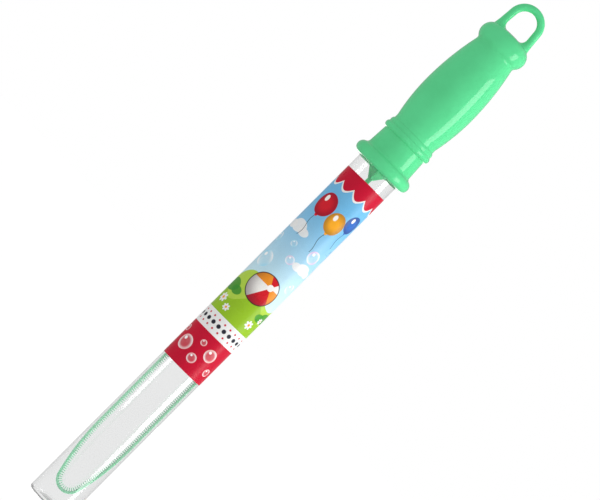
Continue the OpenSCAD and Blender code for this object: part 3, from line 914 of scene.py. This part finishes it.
loopTop = wand["tip"] + wand["loop"]
# The wand's pale mint is partly painted light: its paleness stands in for light through the thin loop and
# the clear tube's reflection over it, and it deepens towards the stem.
wandMint = mintPlastic(
    "mintWand", deep=(0.27, 0.66, 0.41, 1.0), light=(0.30, 0.69, 0.445, 1.0),
    roughness=0.3, flowScale=80.0, scuffAmount=0.25, bump=0.12,
    deepStemPaintedPaleLoop={"low": loopTop - 20.0 * mm, "high": loopTop + 30.0 * mm, "colour": (0.118, 0.78, 0.32, 1.0)})
wandGlow = wandMint.node_tree.nodes["Principled BSDF"].inputs
wandGlow["Subsurface Weight"].default_value = 0.3
wandGlow["Subsurface Radius"].default_value = (0.8, 1.0, 0.9)
wandGlow["Subsurface Scale"].default_value = 2.0 * mm
loopTree = makeLoopTree()
line = [(x, y, 0.0) for x, y in loopLine(wand["band"] / 2, wand["lineStep"])]
rounds = [(i, (i + 1) % len(line)) for i in range(len(line))]
loopValues = {
    "Band Width": wand["band"], "Band Depth": wand["depth"], "Band Round": wand["bandRound"],
    "Tooth Length": wand["tooth"], "Tooth Width": wand["toothWidth"], "Tooth Tip Share": wand["toothTip"],
    "Tooth Pitch": wand["pitch"], "Tip Growth": wand["tipGrowth"], "Tip Height": wand["tip"],
    "Material": wandMint,
}
settle(grown("wandLoop", loopTree, loopValues, line, rounds), "wand", "mint_wand_plastic", "wand")
bm = bmesh.new()
loft(bm, stemRings())
loft(bm, rootRings())
tangR, tangEdge = wand["tang"] / 2, wand["tangEdge"]
tangLow, tangTop = stopper["low"] - wand["tangSink"], stopper["low"] + wand["tangHeight"]
lathe(bm, [(0.0, tangLow), (tangR, tangLow), (tangR, tangTop - tangEdge), (tangR - tangEdge, tangTop),
           (0.0, tangTop)], 48)
settle(pieceFrom(bm, "wandStem", wandMint, 30.0), "wand", "mint_wand_plastic", "wand")


# Handle: a turned form with a rolled rim, two beads, a long belly, a waist, a knob, and a ring on top

handleLow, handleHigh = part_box("handle")
handle = {
    "mouth": handleLow.z, "mouthEase": 0.5 * mm, "rimR": handleHigh.x, "capDepth": 21.6 * mm,
    "socket": 13.6 * mm, "socketWall": 0.65 * mm, "socketDraft": 0.65 * mm, "rimHeight": 7.6 * mm,
    "rimFillet": 2.2 * mm, "groove": 14.5 * mm, "grooveGap": 0.2 * mm, "ledge": 12.9 * mm,
    "discHeight": 2.0 * mm, "beadWall": 1.5 * mm, "beadRound": 2.3 * mm, "beadDrop": 0.82 * mm,
    "smallBeadRound": 2.6 * mm, "beadPitch": 2.8 * mm, "wall": 1.3 * mm, "neck": 2.2 * mm,
    "swell": 2.65 * mm, "lower": 24.8 * mm, "upper": 34.9 * mm, "draw": 3.85 * mm,
    "waistFillet": 2.0 * mm, "knobRise": 41.1 * mm, "knobSlim": 1.29 * mm, "knobRound": 7.0 * mm,
    "domeRise": 0.7 * mm, "segments": 136, "spacing": 0.2 * mm, "passes": 1,
}
hanger = {
    "bar": 4.3 * mm, "arch": 8.85 * mm, "rise": 9.0 * mm, "lean": math.radians(4.9), "innerFillet": 4.2 * mm,
    "outerFillet": 0.5 * mm, "filletHeight": 4.8 * mm, "followHeight": 6.0 * mm, "sink": 0.25 * mm,
    "archGap": 0.6 * mm, "sides": 36, "legSteps": 30, "archSteps": 48,
}


def cornerAngle(a, b, across):
    # The angle between two sides of a triangle, across from the third
    return math.degrees(math.acos((a * a + b * b - across * across) / (2 * a * b)))


def handleForm():
    h = handle
    socketTop = h["socket"] + h["socketWall"]
    socketFoot = socketTop + h["socketDraft"]
    rimRound = h["rimHeight"] / 2
    rimR = h["rimR"] - rimRound
    filletR = socketFoot + h["rimFillet"]
    filletH = rimRound + math.sqrt((rimRound + h["rimFillet"]) ** 2 - (filletR - rimR) ** 2)
    filletTurn = math.degrees(math.atan2(filletH - rimRound, filletR - rimR))
    beadR = h["groove"] + h["beadWall"] - h["beadRound"]
    beadH = h["capDepth"] + h["discHeight"] / 2
    smallR = h["groove"] + h["beadWall"] - h["beadDrop"] - h["smallBeadRound"]
    smallH = beadH + h["beadPitch"]
    neckR = h["ledge"] + h["wall"]
    smallTurn = math.degrees(math.acos((neckR - smallR) / h["smallBeadRound"]))
    swellH = smallH + h["smallBeadRound"] * math.sin(math.radians(smallTurn)) + h["neck"]
    bellyH = swellH + h["lower"]
    bellyR = neckR + h["swell"]
    lowerR = (h["lower"] ** 2 + h["swell"] ** 2) / (2 * h["swell"])
    upperR = (h["upper"] ** 2 + h["draw"] ** 2) / (2 * h["draw"])
    waistR = bellyR - h["draw"]
    knobR = bellyR - h["knobSlim"] - h["knobRound"]
    knobH = bellyH + h["knobRise"]
    # The waist's fillet touches the upper arc and the knob from outside.
    fillet = h["waistFillet"]
    span = math.hypot(knobR - bellyR + upperR, h["knobRise"])
    waistTurn = math.degrees(math.atan2(h["knobRise"], knobR - bellyR + upperR))
    waistTurn -= cornerAngle(upperR + fillet, span, h["knobRound"] + fillet)
    waistX = bellyR - upperR + (upperR + fillet) * math.cos(math.radians(waistTurn))
    waistH = bellyH + (upperR + fillet) * math.sin(math.radians(waistTurn))
    knobTurn = math.degrees(math.atan2(knobH - waistH, waistX - knobR))
    domeR = (knobR ** 2 + (h["knobRound"] + h["domeRise"]) ** 2 - h["knobRound"] ** 2) / (2 * h["domeRise"])
    domeH = knobH + h["knobRound"] + h["domeRise"]
    domeTurn = math.degrees(math.atan2(knobH - domeH + domeR, knobR))
    gap = math.hypot(smallR - beadR, h["beadPitch"])
    beadLine = math.degrees(math.atan2(h["beadPitch"], smallR - beadR))
    beadCross = cornerAngle(h["beadRound"], gap, h["smallBeadRound"])
    smallCross = cornerAngle(h["smallBeadRound"], gap, h["beadRound"])
    beadFoot = math.degrees(math.acos((socketTop - beadR) / h["beadRound"]))
    lowerTurn = math.degrees(math.asin(h["lower"] / lowerR))
    upperTurn = math.degrees(math.asin(h["upper"] / upperR))
    outside = (
        arcPoints(rimR, rimRound, rimRound, -90, filletTurn, 24)
        + arcPoints(filletR, filletH, h["rimFillet"], 180 + filletTurn, 180, 8)
        + arcPoints(beadR, beadH, h["beadRound"], -beadFoot, beadLine - beadCross, 12)
        + arcPoints(smallR, smallH, h["smallBeadRound"], beadLine - 180 + smallCross, smallTurn, 12)
        + arcPoints(bellyR - lowerR, bellyH, lowerR, -lowerTurn, 0, 24)
        + arcPoints(bellyR - upperR, bellyH, upperR, 0, waistTurn, 30)
        + arcPoints(waistX, waistH, fillet, 180 + waistTurn, 180 - knobTurn, 12)
        + arcPoints(knobR, knobH, h["knobRound"], -knobTurn, domeTurn, 30)
        + arcPoints(0.0, domeH - domeR, domeR, domeTurn, 90, 20))
    cavityR = waistR - h["wall"]
    cavityH = knobH + h["wall"]
    cavityRound = h["knobRound"] - h["wall"] * 2
    grooveLow = h["capDepth"] - h["grooveGap"]
    grooveHigh = h["capDepth"] + h["discHeight"] + h["grooveGap"]
    inside = (
        [(0.0, cavityH)]
        + arcPoints(cavityR - cavityRound, cavityH - cavityRound, cavityRound, 90, 0, 8)
        + arcPoints(bellyR - upperR, bellyH, upperR - h["wall"], upperTurn, 0, 12)
        + arcPoints(bellyR - lowerR, bellyH, lowerR - h["wall"], 0, -lowerTurn, 12)
        + [(h["ledge"], grooveHigh), (h["groove"], grooveHigh), (h["groove"], grooveLow),
           (h["socket"], grooveLow), (h["socket"], h["mouthEase"]),
           (h["socket"] + h["mouthEase"], 0.0)])
    section = soften(outside, h["spacing"], h["passes"]) + inside
    section = [(max(0.0, r), z + h["mouth"]) for r, z in section]

    def domeZ(r):
        if r < domeR * math.cos(math.radians(domeTurn)):
            z = domeH - domeR + math.sqrt(domeR ** 2 - r ** 2)
        else:
            z = knobH + math.sqrt(max(0.0, h["knobRound"] ** 2 - (r - knobR) ** 2))
        return z + h["mouth"]

    return section, domeZ, domeH + h["mouth"]


def hangerRings(domeZ, domeTop):
    g = hanger
    half = g["bar"] / 2
    archZ = domeTop + g["rise"]
    lean = g["lean"]
    startX, startZ = g["arch"] * math.cos(lean), archZ + g["arch"] * math.sin(lean)
    turns = [2 * math.pi * k / g["sides"] for k in range(g["sides"])]

    def legX(z):
        return startX + (startZ - z) * math.tan(lean)

    footZ = domeZ(legX(domeTop))
    leg = []
    # The leg's foot spreads into a fillet and follows the dome under it.
    for i in range(g["legSteps"] + 1):
        above = (startZ - footZ - g["archGap"]) * (i / g["legSteps"]) ** 1.6 - g["sink"]
        z = footZ + above
        cx = legX(z)
        part = min(1.0, max(0.0, above / g["filletHeight"]))
        widen = 1.0 - math.sqrt(max(0.0, 1.0 - (1.0 - part) ** 2))
        follow = max(0.0, 1.0 - max(0.0, above) / g["followHeight"]) ** 2
        ring = []
        for a in turns:
            inner = (1.0 - math.cos(a)) / 2
            spread = g["outerFillet"] + (g["innerFillet"] - g["outerFillet"]) * inner ** 1.5
            reach = half + spread * widen
            x, y = cx + reach * math.cos(a), reach * math.sin(a)
            ring.append((x, y, z + (domeZ(math.hypot(x, y)) - domeZ(cx)) * follow))
        leg.append(ring)
    arch = []
    for i in range(g["archSteps"] + 1):
        b = lean + (math.pi - 2 * lean) * i / g["archSteps"]
        ring = []
        for a in turns:
            out = g["arch"] + half * math.cos(a)
            ring.append((out * math.cos(b), half * math.sin(a), archZ + out * math.sin(b)))
        arch.append(ring)
    far = [[(-x, y, z) for x, y, z in ring] for ring in leg[::-1]]
    return leg + arch + far


handleMint = mintPlastic(
    "mintHandle", deep=(0.102, 0.67, 0.277, 1.0), light=(0.112, 0.71, 0.30, 1.0),
    roughness=0.05, flowScale=55.0, scuffAmount=0.2, bump=0.015,
    seam={"flat": 0.05 * mm, "half": 0.22 * mm, "height": 40.0})
section, domeZ, domeTop = handleForm()
bm = bmesh.new()
lathe(bm, section, handle["segments"])
loft(bm, hangerRings(domeZ, domeTop))
settle(pieceFrom(bm, "handleShell", handleMint, 45.0), "handle", "mint_handle_plastic", "handle")
handleThread = dict(
    thread, Radius=13.56 * mm, Turns=2.2, Start=tube["height"] - 16.0 * mm, Width=1.2 * mm,
    Material=handleMint)
settle(grown("handleThread", threadTree, handleThread), "handle", "mint_handle_plastic")


# Studio: a pale floor, an even white surround, a tall softbox to the right, and two lamps that
# leave no reflection, for the back and the right edge

studio = {
    "view": Vector((0.00030, -2.4, 0.1931)), "lens": 266.7, "roll": (0.70834, 0.70587),
    "ambient": 0.77, "mirrored": 0.5, "backdrop": 0.4, "backdropEdge": (-0.25, 0.45),
    "throughGlass": 0.845, "rearStrip": 2.5, "stripHalf": 0.16, "stripSoft": 1.15, "stripBack": 0.75,
    "stripTop": -0.1, "floor": 6.0, "floorGlow": 1.05, "floorShare": 0.88,
    "floorDark": (0.86, 0.86, 0.86, 1.0), "floorPale": (0.9, 0.9, 0.9, 1.0),
}
softboxes = [
    {"name": "mainBox", "toward": Vector((0.951, -0.309, 0.0)), "distance": 1.2, "wide": 0.53, "tall": 1.27,
     "height": 0.06, "glow": 5.4, "mirrored": True},
    {"name": "rearBox", "toward": Vector((0.0, 1.0, 0.0)), "distance": 1.4, "wide": 0.3, "tall": 1.2,
     "height": 0.3, "glow": 5.0, "mirrored": False},
    {"name": "sideBox", "toward": Vector((0.94, 0.342, 0.0)), "distance": 1.3, "wide": 0.3, "tall": 1.2,
     "height": 0.1, "glow": 7.6, "mirrored": False},
]


def buildWorld():
    world = bpy.data.worlds.new("surround")
    scene.world = world
    world.use_nodes = True
    tree = world.node_tree
    tree.nodes.clear()
    path = addNode(tree, "ShaderNodeLightPath").outputs
    # The plastic mirrors a grey room, a little darker at the back, with a bright strip low behind.
    # What glass shows from inside is one even tone.
    facing = addNode(tree, "ShaderNodeTexCoord").outputs["Generated"]
    way = addNode(tree, "ShaderNodeSeparateXYZ", {0: facing})
    front, behind = studio["backdropEdge"]
    around = ranged(tree, way.outputs[1], front, behind, studio["mirrored"], studio["backdrop"], True)
    aside = maths(tree, "ABSOLUTE", way.outputs[0])
    half = studio["stripHalf"]
    strip = ranged(tree, aside, half, half * studio["stripSoft"], studio["rearStrip"], 0.0, True)
    rear = maths(tree, "GREATER_THAN", way.outputs[1], studio["stripBack"])
    below = maths(tree, "LESS_THAN", way.outputs[2], studio["stripTop"])
    strip = maths(tree, "MULTIPLY", strip, maths(tree, "MULTIPLY", rear, below))
    inGlass = maths(tree, "GREATER_THAN", path["Transmission Depth"], 0.5)
    around = ranged(tree, inGlass, 0.0, 1.0, maths(tree, "ADD", around, strip), studio["throughGlass"])
    bent = maths(tree, "MAXIMUM", path["Is Glossy Ray"], path["Is Transmission Ray"])
    bent = maths(tree, "MULTIPLY", bent, maths(tree, "LESS_THAN", path["Diffuse Depth"], 0.5))
    lit = addNode(tree, "ShaderNodeBackground", {"Color": fullWhite, "Strength": studio["ambient"]})
    room = addNode(tree, "ShaderNodeBackground", {"Color": fullWhite, "Strength": around})
    plain = addNode(tree, "ShaderNodeBackground", {"Color": fullWhite, "Strength": 1.0})
    inner = addNode(tree, "ShaderNodeMixShader", {0: bent, 1: lit.outputs[0], 2: room.outputs[0]})
    mix = addNode(tree, "ShaderNodeMixShader", {
        0: path["Is Camera Ray"], 1: inner.outputs[0], 2: plain.outputs[0]})
    out = addNode(tree, "ShaderNodeOutputWorld")
    tree.links.new(mix.outputs[0], out.inputs["Surface"])


def buildFloor():
    material = bpy.data.materials.new("paleFloor")
    material.use_nodes = True
    tree = material.node_tree
    tree.nodes.clear()
    path = addNode(tree, "ShaderNodeLightPath").outputs
    coords = addNode(tree, "ShaderNodeTexCoord").outputs
    paper = addNode(tree, "ShaderNodeTexNoise", {"Vector": coords["Object"], "Scale": 30.0, "Detail": 2.0})
    tone = mixed(tree, paper.outputs[0], studio["floorDark"], studio["floorPale"])
    lit = addNode(tree, "ShaderNodeBsdfDiffuse", {"Color": tone})
    bright = ranged(tree, path["Is Camera Ray"], 0.0, 1.0, studio["throughGlass"], studio["floorGlow"])
    glow = addNode(tree, "ShaderNodeEmission", {"Color": fullWhite, "Strength": bright})
    seen = maths(tree, "MULTIPLY_ADD", path["Is Camera Ray"], studio["floorShare"],
                 path["Is Transmission Ray"])
    mix = addNode(tree, "ShaderNodeMixShader", {0: seen, 1: lit.outputs[0], 2: glow.outputs[0]})
    out = addNode(tree, "ShaderNodeOutputMaterial")
    tree.links.new(mix.outputs[0], out.inputs["Surface"])
    bm = bmesh.new()
    bmesh.ops.create_circle(bm, cap_ends=True, segments=96, radius=studio["floor"])
    mesh = bpy.data.meshes.new("floor")
    bm.to_mesh(mesh)
    bm.free()
    mesh.materials.append(material)
    floor = bpy.data.objects.new("floor", mesh)
    scene.collection.objects.link(floor)
    floor.visible_glossy = False


def hangSoftbox(box):
    lamp = bpy.data.lights.new(box["name"], "AREA")
    lamp.shape = "RECTANGLE"
    lamp.size = box["wide"]
    lamp.size_y = box["tall"]
    lamp.energy = box["glow"] * math.pi * box["wide"] * box["tall"]
    softbox = bpy.data.objects.new(box["name"], lamp)
    scene.collection.objects.link(softbox)
    away = box["toward"].normalized()
    upright = Vector((0.0, 0.0, 1.0))
    spin = Matrix((upright.cross(away), upright, away)).transposed()
    softbox.matrix_world = Matrix.Translation(
        away * box["distance"] + upright * box["height"]) @ spin.to_4x4()
    softbox.visible_camera = False
    softbox.visible_glossy = softbox.visible_transmission = box["mirrored"]


def buildCamera():
    lens = bpy.data.cameras.new("studioCamera")
    lens.lens = studio["lens"]
    lens.sensor_width = 36.0
    lens.clip_start = 0.05
    lens.clip_end = 50.0
    lens.dof.use_dof = False
    camera = bpy.data.objects.new("studioCamera", lens)
    scene.collection.objects.link(camera)
    c, s = studio["roll"]
    right = Vector((c, 0.0, s))
    up = Vector((-s, 0.0, c))
    back = Vector((0.0, -1.0, 0.0))
    spin = Matrix((right, up, back)).transposed()
    camera.matrix_world = Matrix.Translation(studio["view"]) @ spin.to_4x4()
    scene.camera = camera


buildWorld()
buildFloor()
for box in softboxes:
    hangSoftbox(box)
buildCamera()
scene.view_settings.view_transform = "Standard"
print("studio built")

bpy.context.view_layer.update()
